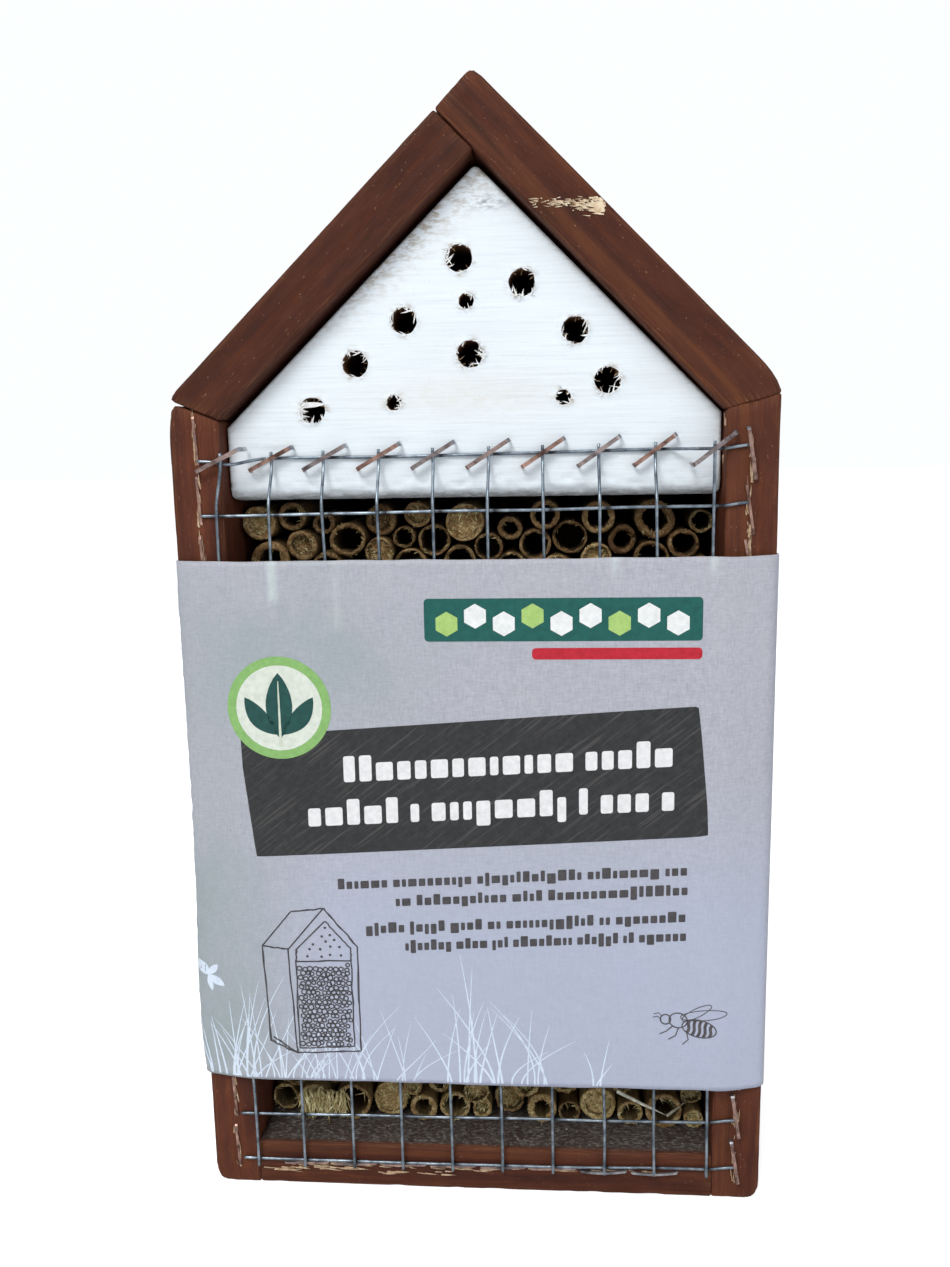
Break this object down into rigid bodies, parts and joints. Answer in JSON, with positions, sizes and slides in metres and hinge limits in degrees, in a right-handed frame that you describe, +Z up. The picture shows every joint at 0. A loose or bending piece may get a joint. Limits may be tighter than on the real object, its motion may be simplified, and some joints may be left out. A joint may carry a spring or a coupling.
{
  "type": "insect hotel",
  "caption": "House-shaped wooden insect hotel with a drilled gable block, hollow reeds behind stapled wire mesh, a hanger on the back and a slide-off card sleeve.",
  "frame": {"origin": "centre of the underside, halfway between the front of the boards and the rear of the back panel", "axes": "+Z up, -Y is the open front with the wire mesh, +X to the right as seen from the front"},
  "size_m": [0.1402, 0.0955, 0.2679],
  "materials": {
    "stained_wood": "rough-sawn softwood, dark reddish brown stain",
    "plywood": "thin bare plywood",
    "painted_wood": "rough softwood, thin white paint",
    "reed": "dry hollow reed with fibrous cut ends",
    "galvanised_wire": "galvanised",
    "staple_wire": "copper coloured",
    "nail_steel": "bright steel, slightly dulled",
    "zinc_plate": "zinc plated",
    "printed_card": "matt printed card"
  },
  "bodies": {
    "house": {"bottom_board": "stained_wood", "left_side_board": "stained_wood", "right_side_board": "stained_wood", "left_roof_board": "stained_wood", "right_roof_board": "stained_wood", "back_panel": "plywood", "gable_block": "painted_wood", "narrow_reeds": "reed", "medium_reeds": "reed", "wide_reeds": "reed", "mesh_vertical_wires": "galvanised_wire", "mesh_horizontal_wires": "galvanised_wire", "gable_staples": "staple_wire", "left_side_staples": "staple_wire", "right_side_staples": "staple_wire", "bottom_staples": "staple_wire", "base_nails": "nail_steel", "eave_nails": "nail_steel", "ridge_nails": "nail_steel", "block_nails": "nail_steel", "back_panel_nails": "nail_steel", "hanger_plate": "zinc_plate", "hanger_screws": "zinc_plate"},
    "sleeve": {"cardboard_sleeve": "printed_card"}
  },
  "joints": [
    {"name": "sleeve_slide", "type": "slide", "parent": "house", "child": "sleeve", "axis": [0, 0, 1], "range_m": [-0.031, 0.245]}
  ]
}
